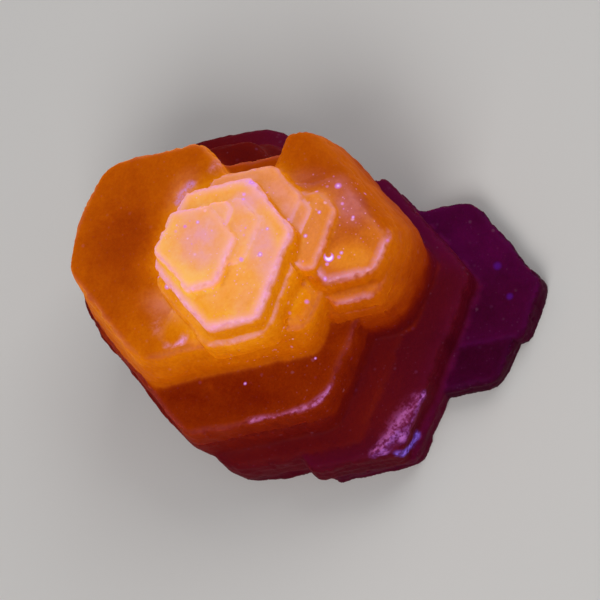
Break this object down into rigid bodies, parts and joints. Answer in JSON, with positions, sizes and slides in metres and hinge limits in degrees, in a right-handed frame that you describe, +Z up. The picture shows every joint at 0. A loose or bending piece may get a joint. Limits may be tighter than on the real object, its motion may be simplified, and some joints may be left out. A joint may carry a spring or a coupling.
{
  "type": "calcite crystal stack",
  "caption": "Natural stack of thin, broad six-sided calcite plates grown together, stepping up off centre to a small plate on top, on a flat base; a display specimen.",
  "frame": {"origin": "centre of the bounding box on the flat base", "axes": "+Z up, along the axis of growth that all the plates share; +Y along the longest side, away from the picture's viewer; +X to the low wing that runs out on one side"},
  "size_m": [0.038, 0.0424, 0.024],
  "materials": {
    "calcite": "frosted, milky, translucent crystal"
  },
  "bodies": {
    "root": {"calcite": "calcite"}
  },
  "joints": []
}
